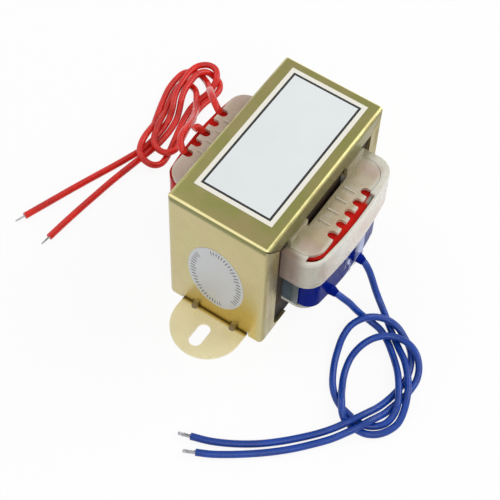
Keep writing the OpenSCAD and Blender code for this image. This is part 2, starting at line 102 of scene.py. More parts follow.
class TransformerColours(bpy.types.PropertyGroup):
    # The top's plating is darker than the ends' pale plating as painted reflection.
    plating: colour("Plating", "Top and its lips", 152, 139, 94)
    plating_green: colour("Plating, green", "Green patches of the top", 128, 132, 70)
    plating_pale: colour("Plating, pale", "End plates", 196, 186, 132)
    plating_rose: colour("Plating, rose", "Rose patches of the ends", 205, 188, 144)
    # Painted reflection of the ears, gold on the end plates above them.
    ear_reflection_gold: colour("Plating, gold", "Gold above the ears", 205, 178, 84)
    # Painted reflection on the ears and painted light on the tabs; also the colour of the scuffs.
    plating_sheen_and_scuffs: colour("Plating, ears", "Thin bright plating", 255, 243, 196)
    # Painted highlight along the outside of the folds.
    fold_highlight: colour("Plating, folds", "Burnished outside of a fold", 248, 236, 176)
    # Painted shade in the ears' folds and on their ribs; also the colour of the dark streaks and
    # specks.
    grime_and_crease_shade: colour("Grime", "Dark plating in inside folds", 84, 62, 16)
    core: colour("Core steel", "Cut edges of the core's sheets", 62, 54, 46)
    plastic: colour("Bobbin plastic", "Bobbin and cover", 240, 237, 224)
    plastic_tan: colour("Plastic, tan", "With the winding behind it", 188, 160, 112)
    plastic_shade: colour("Plastic, shaded", "Close to the core", 146, 137, 98)
    plastic_rose: colour("Plastic, rose", "With red tape behind it", 222, 192, 178)
    # Painted shade in the corner by the frame.
    plastic_corner_shade: colour("Plastic, dusk", "In the corner by the frame", 146, 120, 108)
    primary_tape: colour("Primary tape", "Tape round the primary", 212, 36, 28)
    secondary_tape: colour("Secondary tape", "Tape round the secondary", 5, 28, 128)
    copper: colour("Enamelled wire", "Wire of both windings", 168, 84, 40)
    film: colour("Joint film", "Film over the secondary's joints", 166, 178, 226)
    liner: colour("Liner", "Between windings and core", 92, 106, 116)
    label: colour("Label", "Paper of the label", 234, 239, 240)
    label_rim: colour("Label, rim", "Label outside its printed line", 244, 240, 228)
    print_ink: colour("Print", "Border line of the label", 18, 20, 22)
    sticker: colour("Sticker", "Silver paper", 206, 208, 210)
    sticker_ink: colour("Sticker print", "Tick marks on the sticker", 96, 98, 104)
    primary_lead: colour("Primary lead", "Sleeve of the primary leads", 224, 38, 26)
    secondary_lead: colour("Secondary lead", "Sleeve of the secondary leads", 16, 66, 160)
    tin: colour("Tinned wire", "Bare ends of the leads", 196, 196, 200)
    floor: colour("Floor", "What it stands on", 255, 255, 255)


class TransformerSizes(bpy.types.PropertyGroup):
    lead: length("Lead diameter", "Over the sleeve", 2.1, 1.8, 2.4)
    primary_wire: length("Primary wire", "Bare end of a primary lead", 0.7, 0.4, 1.0)
    secondary_wire: length("Secondary wire", "Bare end of a secondary lead", 1.2, 0.8, 1.5)
    steel_edge: length("Steel edge", "Rounding of the frame's cut edges", 0.13, 0.02, 0.3)
    plastic_edge: length("Plastic edge", "Rounding of the mouldings' edges", 0.16, 0.02, 0.3)
    border: length("Border width", "The label's printed line", 0.7, 0.2, 1.0)
    border_inset: length("Border inset", "From the label's edge", 1.35, 0.5, 4)
    wrinkle: length("Tape wrinkle", "How far wrinkles stand", 0.16, 0, 0.3)


# ---- routes of the leads, in millimetres: a point without a height rests on the floor ----

PRIMARY_A = [
    (8.7, 25, 37.8), (9.1, 26.4, 39.2), (10.2, 28.2, 39.7), (12.2, 30.4, 38.7), (15, 32.8, 36),
    (18, 35, 32), (21.4, 37.4, 26.4), (25, 39.8, 20), (28.8, 42.1, 13.6), (32.4, 44.4, 8.8),
    (35.4, 46.7, 5.8), (38, 49.4, 4), (40.6, 52.2, 1.6), (41.9, 55.1), (41.5, 58.1), (39, 60.2),
    (35.2, 60.6), (31, 60.2), (27, 59.1), (23.2, 57.9), (19.8, 56.7), (16.8, 55.6, 1.3),
    (13.8, 54.9, 2.4), (10.6, 54.3, 3.25), (7.2, 53.5, 3.3), (4.1, 51.8, 3.25), (2.6, 49.2, 3.1),
    (3.1, 46.4, 2), (5.5, 44.8, 1.1), (9, 44.9), (13.2, 46), (17.4, 47.2), (21.2, 48.3),
    (25, 49.2), (29, 49.8), (33, 49.6), (36.8, 48.8, 1.2), (39.8, 48.5, 2.3), (42.6, 49.2, 3.5),
    (45, 51.4, 3.6), (45.2, 54.3, 3.4), (43.2, 56.8, 3.25), (40, 57.7, 3.2), (35.8, 57.4, 3.2),
    (31.4, 56.7, 3.2), (27.8, 55.5, 3.2), (24.6, 53.9, 2.7), (21.4, 52.9, 1.5), (17.8, 52.4),
    (14, 52.2), (10, 52.4), (6, 53.1), (2.2, 54.3), (-1.6, 55.6), (-6, 57.2), (-11.6, 59.3),
    (-18.8, 61.9), (-26.6, 64.6), (-34.1, 67.2)]
PRIMARY_B = [
    (-8.9, 25, 38), (-8.5, 26.3, 39.2), (-7, 27.8, 39.9), (-4, 28.9, 39.4), (0.2, 30.1, 37.2),
    (4.6, 31.8, 33.8), (8.6, 34.2, 29.6), (12.6, 36.8, 24.6), (16.6, 39.5, 19), (20.4, 42, 13.8),
    (24, 44.4, 9.8), (27.4, 46.6, 6.9), (30.6, 48.8, 4.8), (33.6, 51, 3.1), (35.7, 53.3, 1.6),
    (36.4, 56), (34.6, 58.1), (31, 57.9), (27, 56.8), (23.6, 55.8, 1.2), (20.2, 54.8, 2.3),
    (16.8, 53.6, 3.3), (13.3, 52.4, 3.3), (10.2, 50.8, 3.3), (8.4, 48.3, 3.3), (8.4, 45.4, 3.3),
    (10.5, 43.5, 3.3), (13.7, 43.6, 3.1), (17.2, 44.7, 2.4), (21, 45.9, 1.3), (25, 46.9),
    (29.2, 47.5), (33.4, 47.3), (37.2, 46.5), (40.6, 46.7), (43, 48.6), (43.7, 51.1, 1.3),
    (43, 53.1, 2.7), (41.1, 54.4, 3.6), (38.6, 55, 3.8), (35.6, 54.9, 3.7), (32, 54.4, 3.7),
    (28.8, 53.4, 3.2), (25.8, 52.1, 2), (22.8, 51, 1.1), (19, 50.2), (15, 49.9), (11, 50),
    (7, 50.6), (3, 51.4), (-1, 52.1), (-5, 52.8), (-9.5, 53.5), (-15, 54.2), (-21.5, 55),
    (-29, 55.8), (-35.9, 56.4)]
SECONDARY_A = [
    (-9.4, -27, 12.6), (-9.3, -28.7, 12.1), (-8.9, -30.6, 10.9), (-8.2, -32.3, 9.1),
    (-7.4, -34.1, 6.3), (-6.5, -36.1, 3.6), (-5.9, -38.9, 1.8), (-6.3, -42.5), (-8.5, -46.2),
    (-11.4, -49.6, 1.2), (-14.6, -52.6, 2.2), (-17.6, -54.9, 3.1), (-20.7, -56.9, 3.3),
    (-23.6, -58.5, 3.3), (-26.4, -59.6, 2.9), (-29, -59.7, 1.4), (-31.5, -59), (-33.6, -57.3),
    (-35, -54.9), (-35.3, -52), (-34.7, -49), (-33.8, -45.8), (-32, -42.9), (-29.4, -40.5),
    (-26.2, -38.6), (-22.7, -37), (-19.1, -35.8, 1.3), (-15.4, -35, 2.5), (-11.6, -35.3, 4.2),
    (-8, -37.2, 5), (-5.2, -39.8, 4.4), (-3.6, -43.1, 3.5), (-3.6, -46.4, 2.8), (-4.8, -49.8, 1.4),
    (-7, -52.9), (-10.1, -55.1), (-13.6, -56.4), (-17.3, -56.9), (-21, -56.6), (-24.7, -55.9),
    (-28.2, -54.9, 1.4), (-31.4, -53.8, 2.6), (-34.8, -52.3, 3.3), (-38, -50.5, 3.2),
    (-41.2, -48.1, 2), (-44.6, -45.2, 1.1), (-48.6, -41.7), (-52.8, -37.6), (-56.8, -33),
    (-60.5, -27.6), (-63.5, -21.9), (-65.4, -16.5)]
SECONDARY_B = [
    (4.4, -27.8, 12.6), (4.3, -29.4, 12), (3.8, -31.3, 10.4), (3.2, -33, 8.1), (2.5, -34.8, 5.2),
    (1.5, -37, 2.7), (-0.5, -40.1, 1.3), (-3.4, -43.6), (-6.3, -47.1), (-9, -50.4, 1.5),
    (-11.8, -53.5, 2.8), (-14.9, -56.2, 3.3), (-18.3, -58.6, 3.3), (-21.8, -60.3, 3.2),
    (-25.6, -61.6, 2.2), (-29.3, -62, 1.1), (-32.8, -60.9), (-35.4, -59), (-37.1, -56.3),
    (-37.5, -53.3), (-37.3, -51), (-36.9, -49, 1.6), (-35.8, -47.4, 2.8), (-33.9, -46.1, 3.3),
    (-31.7, -44.7, 3), (-28.9, -43.3, 1.6), (-25.7, -41.8), (-22.2, -40.7), (-18.4, -40.2, 1.3),
    (-14.6, -40.9, 2.4), (-11.2, -42.7, 3.4), (-8.4, -45.4, 3.5), (-6.9, -48.8, 3.4),
    (-6.9, -52.4, 3.3), (-8.5, -55.7, 3), (-11, -58.1, 1.8), (-14.2, -59.4, 1.1), (-17.8, -59.6),
    (-21.5, -59.2), (-25.1, -58.3), (-28.6, -57.4, 1.2), (-31.5, -56.5, 2.4), (-34.4, -55.4, 3.4),
    (-37.6, -53.8, 3.3), (-40.8, -51.6, 2.3), (-44.2, -49, 1.2), (-48.2, -45.7), (-52.8, -41.6),
    (-57.6, -36.5), (-62.3, -30.6), (-66.3, -24.8), (-68.6, -20.4)]
STUB = [(0.1, 25, 38.2), (0, 26, 39.2), (-0.5, 26.8, 39.7), (-1.6, 26.95, 39.5)]


# ---- materials ----

def shade(base, times):
    """A colour made darker or lighter."""
    return tuple(min(1.0, c * times) for c in tuple(base)[:3])


class Nodes:
    """Short ways to add nodes to a tree. A value is a number, a colour or a socket."""

    def __init__(self, tree):
        self.tree = tree

    def feed(self, socket, value):
        if isinstance(value, bpy.types.NodeSocket):
            self.tree.links.new(value, socket)
        else:
            socket.default_value = (*tuple(value)[:3], 1) if socket.type == "RGBA" else value

    def node(self, kind, settings=None, **inputs):
        made = self.tree.nodes.new("ShaderNode" + kind)
        for name, value in (settings or {}).items():
            setattr(made, name, value)
        for label, value in inputs.items():
            self.feed(made.inputs[label.replace("_", " ")], value)
        return made

    def reckon(self, operation, first, second=0):
        made = self.node("Math", {"operation": operation})
        self.feed(made.inputs[0], first)
        self.feed(made.inputs[1], second)
        return made.outputs["Value"]

    def ramp(self, value, low, high):
        """value spread from low..high to 0..1."""
        return self.node("MapRange", {"interpolation_type": "SMOOTHSTEP"}, Value=value,
                         From_Min=low, From_Max=high).outputs["Result"]

    def spread(self, value, low, high):
        """value 0..1 turned to low..high."""
        return self.node("MapRange", Value=value, To_Min=low, To_Max=high).outputs["Result"]

    def times(self, *masks):
        """The masks multiplied. One that is (value, low, high) is a ramp from low to high."""
        joined, *rest = (self.ramp(*m) if isinstance(m, tuple) else m for m in masks)
        for mask in rest:
            joined = self.reckon("MULTIPLY", joined, mask)
        return joined

    def mix(self, factor, first, second):
        made = self.node("Mix", {"data_type": "RGBA"})
        colour_inputs = [s for s in made.inputs if s.type == "RGBA"]
        for socket, value in zip([made.inputs[0]] + colour_inputs, (factor, first, second)):
            self.feed(socket, value)
        return next(s for s in made.outputs if s.type == "RGBA")

    def place(self, stretch=(1, 1, 1), turned=(0, 0, 0)):
        """Object coordinates, in metres, stretched along each axis and turned."""
        return self.node("Mapping", Vector=self.node("TexCoord").outputs["Object"],
                         Scale=stretch, Rotation=turned).outputs["Vector"]

    def distances(self):
        """Where a point is, as |x|, |y|, z, x and y in millimetres."""
        split = self.node("SeparateXYZ", Vector=self.node("TexCoord").outputs["Object"])
        x, y, z = (self.times(split.outputs[axis], 1 / MM) for axis in "XYZ")
        return self.reckon("ABSOLUTE", x), self.reckon("ABSOLUTE", y), z, x, y

    def noise(self, vector, scale, detail=3.0, roughness=0.55):
        return self.node("TexNoise", Vector=vector, Scale=scale, Detail=detail,
                         Roughness=roughness).outputs["Fac"]

    def turns(self, pitch, profile, distortion, detail):
        """Bands across Z, whose phase turns by one radian in each pitch."""
        return self.node("TexWave", {"bands_direction": "Z", "wave_profile": profile},
                         Vector=self.place(), Scale=1 / pitch / WAVE_FACTOR,
                         Distortion=distortion, Detail=detail).outputs["Fac"]

    def seen(self):
        """1 or more for rays from the camera, reflections and clear materials, else 0."""
        rays = self.node("LightPath").outputs
        return self.reckon("ADD", rays["Is Camera Ray"], self.reckon(
            "ADD", rays["Is Glossy Ray"], rays["Is Transmission Ray"]))

    def effect(self, maker, **values):
        """The outputs of a shared group, placed here with its own values."""
        if maker not in GROUPS:
            GROUPS[maker] = maker()
        return self.node("Group", {"node_tree": GROUPS[maker]}, **values).outputs

    def cloud(self, scale, spread=0.5):
        return self.effect(blotches_group, Scale=scale, Spread=spread)["Mask"]

    def grain(self, scale):
        return self.effect(grain_group, Scale=scale)["Height"]

    def marks(self, scale):
        """Masks of scuffs and of specks."""
        made = self.effect(scuffs_group, Scale=scale)
        return made["Scuff"], made["Speck"]


GROUPS = {}


def group(name, inputs, outputs):
    """A shader node group with those float inputs: its nodes, input and output sockets."""
    tree = bpy.data.node_groups.new(name, "ShaderNodeTree")
    for label, default in inputs.items():
        socket = tree.interface.new_socket(label, in_out="INPUT", socket_type="NodeSocketFloat")
        socket.default_value = default
    for label in outputs:
        tree.interface.new_socket(label, in_out="OUTPUT", socket_type="NodeSocketFloat")
    return (Nodes(tree), tree.nodes.new("NodeGroupInput").outputs,
            tree.nodes.new("NodeGroupOutput").inputs)


def blotches_group():
    """Soft cloudy patches, with a finer second size within them."""
    inner, given, out = group("Cloudy Blotches", {"Scale": 60.0, "Spread": 0.5}, ["Mask"])
    vector = inner.place()
    broad = inner.noise(vector, given["Scale"], 2.0, 0.5)
    fine = inner.noise(vector, inner.times(given["Scale"], 4.3), 4.0)
    both = inner.reckon("ADD", inner.times(broad, 0.75), inner.times(fine, 0.25))
    wide = inner.times(inner.reckon("SUBTRACT", both, 0.5), inner.times(given["Spread"], 8.0))
    clamp = inner.node("Clamp", Value=inner.reckon("ADD", wide, 0.5))
    inner.feed(out["Mask"], clamp.outputs["Result"])
    return inner.tree


def scuffs_group():
    """Fine scratches that run mostly one way, and small dark specks."""
    inner, given, out = group("Scuffs and Specks", {"Scale": 400.0}, ["Scuff", "Speck"])
    lines = inner.noise(inner.place((1, 0.06, 1), (0.4, 0.9, 0.6)),
                        inner.times(given["Scale"], 5.0), 1.0)
    patches = inner.noise(inner.place(), 90.0, 2.0)
    inner.feed(out["Scuff"], inner.times((lines, 0.66, 0.74), (patches, 0.5, 0.68)))
    specks = inner.noise(inner.place(), inner.times(given["Scale"], 3.0), 1.0)
    inner.feed(out["Speck"], inner.ramp(specks, 0.73, 0.78))
    return inner.tree


def grain_group():
    """A fine even grain for bumps and roughness."""
    inner, given, out = group("Fine Grain", {"Scale": 2500.0}, ["Height"])
    inner.feed(out["Height"], inner.noise(inner.place(), given["Scale"], 3.0, 0.6))
    return inner.tree


class Look(Nodes):
    """A material whose colour is laid on coat by coat. Plain values go on its shader."""

    def __init__(self, name, **plain):
        self.material = bpy.data.materials.new(name)
        self.material.use_nodes = True
        super().__init__(self.material.node_tree)
        self.shader = next(n for n in self.tree.nodes if n.type == "BSDF_PRINCIPLED")
        for label, value in plain.items():
            self.give(label.replace("_", " "), value)

    def give(self, label, value):
        """Wires a value to one of the shader's inputs."""
        self.feed(self.shader.inputs[label], value)

    def lay(self, coat, *masks):
        """Covers the colour so far with a coat, where all the masks hold."""
        self.base = self.mix(self.times(*masks), self.base, coat) if masks else coat

    def tones(self, tint, dark, light, mask):
        """The first coats: a dark tone of a colour, and a light one where mask holds."""
        self.lay(shade(tint, dark))
        self.lay(shade(tint, light), mask)

    def bump(self, height, distance):
        """Raises the surface by height times distance, over the bumps that it has."""
        made = self.node("Bump", Height=height, Distance=distance, Strength=1.0)
        previous = self.shader.inputs["Normal"].links
        if previous:
            self.feed(made.inputs["Normal"], previous[0].from_socket)
        self.give("Normal", made.outputs["Normal"])

    def done(self, value, low, high):
        """The material, with its colour and with roughness from low to high along value."""
        self.give("Base Color", self.base)
        self.give("Roughness", self.spread(value, low, high))
        return self.material


def plated_steel(colours):
    """Yellow zinc plating: olive on top, pale on the ends, gold above the ears. The top's
    darkness, the ears' brightness and the gold are painted reflection; painted highlights run
    along the folds, painted shade lies in the creases and painted light on the tabs.
    """
    look = Look("Plated_Steel", Roughness=0.3, Metallic=0.78)
    end = -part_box("round_sticker")[1].x / MM
    side, top = (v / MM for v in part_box("shell")[1].yz)
    x, y, z, _, across = look.distances()
    cloud, fine = look.cloud(42.0), look.cloud(170.0)
    scuffs, specks = look.marks(420.0)
    streaks = look.noise(look.place((1, 1, 0.12)), 330.0, 2.0)

    look.lay(colours.plating_pale)
    look.lay(colours.plating_rose, cloud)
    look.lay(colours.plating, (y, side - 0.9, side - 0.4), 0.55)
    # The top, and the lips folded down from it as far as the mitres, darker than the ends as
    # painted reflection.
    lips = look.times((y, side - 1.2, side - 0.6), (z, top - 6.9, top - 6.6),
                      (look.reckon("SUBTRACT", z, x), top - end - 0.65, top - end - 0.55))
    look.lay(look.mix(look.mix(0.4, cloud, fine), colours.plating, colours.plating_green),
             look.reckon("MAXIMUM", lips, look.ramp(z, top - 1.0, top - 0.4)))
    # Painted reflection of the ears, gold above them and highest on the secondary's side, and
    # streaks down the ends' lips.
    slant = look.times(look.reckon("MAXIMUM", across, -2), 1.1)
    look.lay(colours.ear_reflection_gold, (x, end - 0.6, end - 0.1),
             (look.reckon("ADD", z, slant), 22, 6), (across, 11.8, 10.6),
             (across, -15.8, -13), 0.85)
    look.lay(shade(colours.grime_and_crease_shade, 1.9), (y, side - 0.7, side - 0.3), (z, top - 7, top - 8),
             (streaks, 0.5, 0.66), 0.35)
    # The ears, bright as painted reflection; painted shade as a dark line in their folds and on
    # the pressed ribs across it.
    ear = look.ramp(x, end + 0.6, end + 1.6)
    look.lay(look.mix(cloud, colours.plating_sheen_and_scuffs, shade(colours.plating_sheen_and_scuffs, 0.92)), ear)
    look.lay(colours.grime_and_crease_shade, (x, end - 0.5, end - 0.1), (x, end + 0.8, end + 0.2),
             (z, 1.9, 1.1), (y, 11.4, 11.1), 0.85)
    from_rib = look.reckon("ABSOLUTE", look.reckon("SUBTRACT", y, RIB_Y))
    look.lay(shade(colours.grime_and_crease_shade, 1.3), (from_rib, 1.7, 1.1), (z, 0.92, 1.05),
             (z, 3.4, 2.4), (x, end - 0.3, end), 0.85)
    # Painted highlights on the folds round the top, painted shade below them, and painted light on
    # the tabs.
    look.lay(shade(colours.plating_green, 0.75), (x, end - 0.3, end - 0.1),
             (z, top - 3.2, top - 1.6), (z, top - 0.5, top - 0.75), 0.85)
    fold = look.times((x, end - 0.8, end - 0.5), (z, top - 0.6, top - 0.45))
    lip_fold = look.times((y, side - 1.1, side - 0.7), (z, top - 0.9, top - 0.5),
                          look.spread(fine, 0.1, 0.5))
    tab = look.times((z, 1.5, 1.1), (x, end - 0.2, end - 0.8))
    look.lay(shade(colours.plating_sheen_and_scuffs, 0.9), tab)
    look.lay(colours.fold_highlight, look.reckon("MAXIMUM", fold, lip_fold))
    look.lay(shade(colours.plating, 0.9), fine, 0.06)
    look.lay(colours.plating_sheen_and_scuffs, scuffs, 0.03)
    look.lay(colours.grime_and_crease_shade, specks, 0.25)
    look.give("Metallic", look.spread(look.reckon("MAXIMUM", ear, tab), 0.78, 0.1))
    look.bump(look.grain(1800.0), 0.0015 * MM)
    look.bump(cloud, 0.012 * MM)
    return look.done(fine, 0.26, 0.33)


def core_steel(colours):
    """Sheet edges: each sheet has its own tone, with burrs and a little rust, and painted shade
    towards the bottom.
    """
    look = Look("Core_Steel", Roughness=0.6, Metallic=0.1, Specular_IOR_Level=0.15)
    _, _, z, _, across = look.distances()
    tone = look.node("TexWhiteNoise", {"noise_dimensions": "1D"},
                     W=look.reckon("FLOOR", across))
    cloud = look.cloud(120.0, 0.6)
    look.tones(colours.core, 0.6, 1.5, tone.outputs["Value"])
    look.lay(RUST, cloud, 0.5)
    look.lay(SCRATCHED, look.marks(500.0)[0], 0.5)
    # Painted shade: darker towards the bottom.
    look.lay(shade(colours.core, 0.45), (z, 12, 4))
    look.bump(look.grain(2600.0), 0.05 * MM)
    return look.done(cloud, 0.62, 0.85)


def clear_plastic(colours):
    """Milky plastic, tinted by what lies behind it, with painted shade near the core and the frame
    and painted highlights on the comb's ribs.
    """
    look = Look("Milky_Plastic", Roughness=0.34, Transmission_Weight=0.12, IOR=1.46,
                Coat_Weight=0.2, Coat_Roughness=0.15, Subsurface_Weight=0.3,
                Subsurface_Scale=1.2 * MM, Subsurface_Radius=(1.0, 0.85, 0.7))
    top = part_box("primary_cover")[1].z / MM
    x, y, z, along, across = look.distances()
    cloud = look.cloud(90.0, 0.6)
    on_top = look.ramp(z, top - 1.1, top - 0.6)
    rose = colours.plastic_rose
    look.tones(colours.plastic, 0.94, 1.02, cloud)
    # The flange: tinted over the coil, painted shade close to the core, and rose at its ends.
    look.lay(colours.plastic_tan, on_top, (y, 25.6, 23.4), (x, 19.5, 13),
             look.spread(cloud, 0.5, 0.85))
    look.lay(colours.plastic_shade, (y, 21.5, 17), (z, top - 0.3, top),
             look.spread(cloud, 0.6, 0.9))
    look.lay(shade(rose, 0.8), on_top, (y, 25.2, 23.5), (y, 17.5, 19), (x, 12, 15),
             (x, 19.5, 17), 0.55)
    # The cover's wall, the flange on the leads' side, and painted shade on the wall near the frame
    # and in the corner by it.
    look.lay(rose, (y, 25.6, 26.4), (z, top, top - 5), look.spread(cloud, 0.1, 0.6))
    look.lay(shade(rose, 0.9), on_top, (across, 17, 21), 0.5)
    look.lay(colours.plastic_shade, (along, -8, -20), (across, -18, -21),
             (z, top - 0.6, top - 2.5), 0.4)
    look.lay(colours.plastic_corner_shade, (along, -18.5, -20.6), (across, -24.5, -19.5),
             (across, 0, -1), 0.85)
    # Painted highlight on the tops of the comb's ribs.
    look.lay(colours.plastic, (z, top + 0.05, top + 0.25), (y, 18, 18.4), 0.6)
    look.lay(DUST, look.marks(380.0)[1], 0.35)
    look.bump(look.grain(1400.0), 0.03 * MM)
    look.bump(cloud, 0.25 * MM)
    return look.done(cloud, 0.26, 0.42)


def wrapped_tape(name, tint, pitch, bare=None):
    """Glossy film tape over faint steps. bare, where given, is painted shade: the grey of shaded
    plastic laid on the tape at the far end of the groove.
    """
    look = Look(name, Roughness=0.18, Specular_IOR_Level=0.02)
    steps = look.turns(pitch, "SAW", 0.6, 1.0)
    pull = look.noise(look.place((1, 1, 0.18)), 900.0)
    look.tones(tint, 0.78, 1.12, look.cloud(90.0))
    look.lay(shade(tint, 0.55), steps, 0.18)
    # Painted shade: the grey of shaded plastic at the far end of the groove.
    if bare is not None:
        _, _, _, along, across = look.distances()
        look.lay(bare, (along, 5.6, 7.2), (across, -25.1, -25.6))
    look.bump(pull, 0.012 * MM)
    look.bump(steps, 0.03 * MM)
    return look.done(pull, 0.1, 0.24)


def enamelled_copper(colours):
    """Turns of enamelled wire, as bands across the winding."""
    look = Look("Enamelled_Copper", Roughness=0.28, Metallic=0.75)
    turns = look.turns(0.45 * MM, "SIN", 0.3, 2.0)
    cloud = look.cloud(130.0)
    look.tones(colours.copper, 0.45, 1.0, turns)
    look.lay(shade(colours.copper, 1.4), cloud, 0.4)
    look.bump(turns, 0.2 * MM)
    return look.done(cloud, 0.2, 0.4)


def thin_film(name, tint, clear, cloudy, crease):
    """Film whose alpha goes from clear to cloudy where it lifts, and in its creases, whose cloudy
    streaks are painted highlights.
    """
    look = Look(name, Roughness=0.2, Coat_Weight=0.25, Coat_Roughness=0.05)
    creases = look.noise(look.place((1, 1, 0.45)), 260.0, 2.0)
    _, _, z, along, _ = look.distances()
    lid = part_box("joint_cover")[1].z / MM
    look.tones(tint, 0.85, 1.15, look.cloud(110.0))
    # The cloudy streaks in the creases are painted highlights.
    white = look.reckon("MAXIMUM", look.ramp(creases, 0.57, 0.66),
                        look.times((along, 0.5, 4.5), 0.9))
    look.give("Alpha", look.spread(look.times(white, (z, lid - 0.8, lid - 2.6)),
                                   clear, cloudy))
    look.bump(creases, crease)
    return look.done(creases, 0.12, 0.3)


def paper(name, tint, metallic, roughness, rim=None):
    """Smooth paper. The label's has a rim of another colour."""
    look = Look(name, Roughness=roughness, Metallic=metallic)
    fibres = look.noise(look.place((1, 0.5, 1)), 1800.0, 5.0, 0.7)
    cloud = look.cloud(50.0, 0.4)
    look.tones(tint, 0.965, 1.01, cloud)
    look.lay(shade(tint, 0.86), (fibres, 0.55, 0.75), 0.12)
    if rim is not None:
        low, high = (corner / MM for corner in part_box("label"))
        outside = []
        for place, a, b in zip(look.distances()[3:], low, high):
            away = look.reckon("ABSOLUTE", look.reckon("SUBTRACT", place, (a + b) / 2))
            edge = (b - a) / 2 - RIM
            outside.append(look.ramp(away, edge - 0.1, edge + 0.1))
        look.lay(rim, look.reckon("MAXIMUM", *outside))
    look.bump(fibres, 0.012 * MM)
    look.bump(cloud, 0.06 * MM)
    return look.done(fibres, roughness - 0.06, roughness + 0.08)


def ink(name, tint):
    """Printing ink, paler where it is worn."""
    look = Look(name, Roughness=0.4)
    worn = look.noise(look.place(), 2400.0)
    look.tones(tint, 1.0, 1.5, (worn, 0.5, 0.75))
    return look.done(worn, 0.3, 0.55)


def insulation(name, tint):
    """Soft vinyl sleeve of a lead, with faint pulls and finger marks."""
    look = Look(name, Roughness=0.26, Specular_IOR_Level=0.4)
    pulls = look.grain(1500.0)
    look.tones(tint, 0.8, 1.12, look.cloud(160.0))
    look.lay(CHAFED, look.marks(450.0)[0], 0.03)
    look.bump(pulls, 0.012 * MM)
    return look.done(pulls, 0.2, 0.34)


def tinned_wire(colours):
    """Bare tinned strands, dull in patches."""
    look = Look("Tinned_Wire", Roughness=0.3, Metallic=1.0)
    cloud = look.cloud(600.0, 0.6)
    look.tones(colours.tin, 0.6, 1.1, cloud)
    look.bump(look.grain(5000.0), 0.03 * MM)
    return look.done(cloud, 0.2, 0.45)


FINISHES = {}


def finish_of(slot):
    """The finish of a material slot, made when it is first asked for."""
    colours = bpy.context.scene.transformer_colours
    makers = {
        "plated_steel": (plated_steel, colours),
        "core_steel": (core_steel, colours),
        "clear_plastic": (clear_plastic, colours),
        "enamelled_copper": (enamelled_copper, colours),
        # The red tape's far end in the groove gets painted shade, the grey of shaded plastic.
        "red_tape": (wrapped_tape, "Red_Tape", colours.primary_tape, 11.5 * MM,
                     shade(colours.plastic, 0.45)),
        "blue_tape": (wrapped_tape, "Blue_Tape", colours.secondary_tape, 12.8 * MM),
        "clear_film": (thin_film, "Joint_Film", colours.film, 0.0, 0.92, 0.12 * MM),
        "liner_film": (thin_film, "Liner_Film", colours.liner, 0.9, 1.0, 0.1 * MM),
        "label_paper": (paper, "Label_Paper", colours.label, 0.0, 0.38, colours.label_rim),
        "label_print": (ink, "Label_Print", colours.print_ink),
        "silver_paper": (paper, "Silver_Paper", colours.sticker, 0.35, 0.42),
        "sticker_print": (ink, "Sticker_Print", colours.sticker_ink),
        "red_lead": (insulation, "Red_Insulation", colours.primary_lead),
        "blue_lead": (insulation, "Blue_Insulation", colours.secondary_lead),
        "tinned_wire": (tinned_wire, colours),
    }
    if slot not in FINISHES:
        maker, *given = makers[slot]
        FINISHES[slot] = maker(*given)
    return FINISHES[slot]


# ---- making pieces ----

def settle(piece, slot, stands_for=(), look=None):
    """Gives a piece its finish, that of look if given and else that of slot, and its body, and
    hides the CAD nodes it stands for.
    """
    piece.data.materials.clear()
    piece.data.materials.append(finish_of(look or slot))
    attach(piece, "root")
    if stands_for:
        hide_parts(*stands_for)
    return piece


def placed(name, data):
    piece = bpy.data.objects.new(name, data)
    bpy.context.scene.collection.objects.link(piece)
    return piece


def from_bmesh(name, work, smooth_angle=40):
    """A piece from a bmesh, sharp where two faces meet at more than smooth_angle degrees."""
    mesh = bpy.data.meshes.new(name)
    bmesh.ops.recalc_face_normals(work, faces=work.faces)
    work.to_mesh(mesh)
    work.free()
    mesh.shade_smooth()
    mesh.set_sharp_from_angle(angle=math.radians(smooth_angle))
    return placed(name, mesh)


def dressed(name, node, slot, edge, segments=2):
    """A copy of a CAD node with its faces merged and its edges rounded."""
    work = bmesh.new()
    work.from_mesh(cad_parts[node].data)
    bmesh.ops.remove_doubles(work, verts=work.verts, dist=MERGE_DISTANCE)
    bmesh.ops.dissolve_limit(work, angle_limit=FLAT_ANGLE, verts=work.verts,
                             edges=work.edges)
    piece = from_bmesh(name, work, 30)
    rounding = piece.modifiers.new("Rounded edges", "BEVEL")
    rounding.width = edge
    rounding.segments = segments
    rounding.limit_method = "ANGLE"
    rounding.angle_limit = EDGE_ANGLE
    rounding.harden_normals = True
    rounding.use_clamp_overlap = True
    return settle(piece, slot, [node])


def carry_over(node, slot):
    """Keeps a CAD node in view and gives it its finish."""
    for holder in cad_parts[node].material_slots:
        holder.material = finish_of(slot)


def band(work, low, high):
    """Faces between two closed rings that have as many vertices."""
    for corners in zip(low, low[1:] + low[:1], high[1:] + high[:1], high):
        work.faces.new(corners)


def capped_tube(work, rings):
    """Faces from each ring to the next, and across the first and the last."""
    for low, high in zip(rings, rings[1:]):
        band(work, low, high)
    work.faces.new(rings[0])
    work.faces.new(rings[-1])


def thin_sheet(name, spot, columns, rows, thickness):
    """A closed thin sheet whose points are spot(u, v), with u and v from 0 to 1."""
    work = bmesh.new()
    sheets = [[[work.verts.new(spot(c / columns, r / rows) + layer * thickness)
                for c in range(columns + 1)] for r in range(rows + 1)] for layer in (0, 1)]
    for r in range(rows):
        for c in range(columns):
            for grid in sheets:
                work.faces.new((grid[r][c], grid[r][c + 1], grid[r + 1][c + 1], grid[r + 1][c]))
    rim = [(0, c) for c in range(columns)] + [(r, columns) for r in range(rows)]
    rim += [(rows - r, columns - c) for r, c in rim]
    band(work, *([grid[r][c] for r, c in rim] for grid in sheets))
    return from_bmesh(name, work, 60)


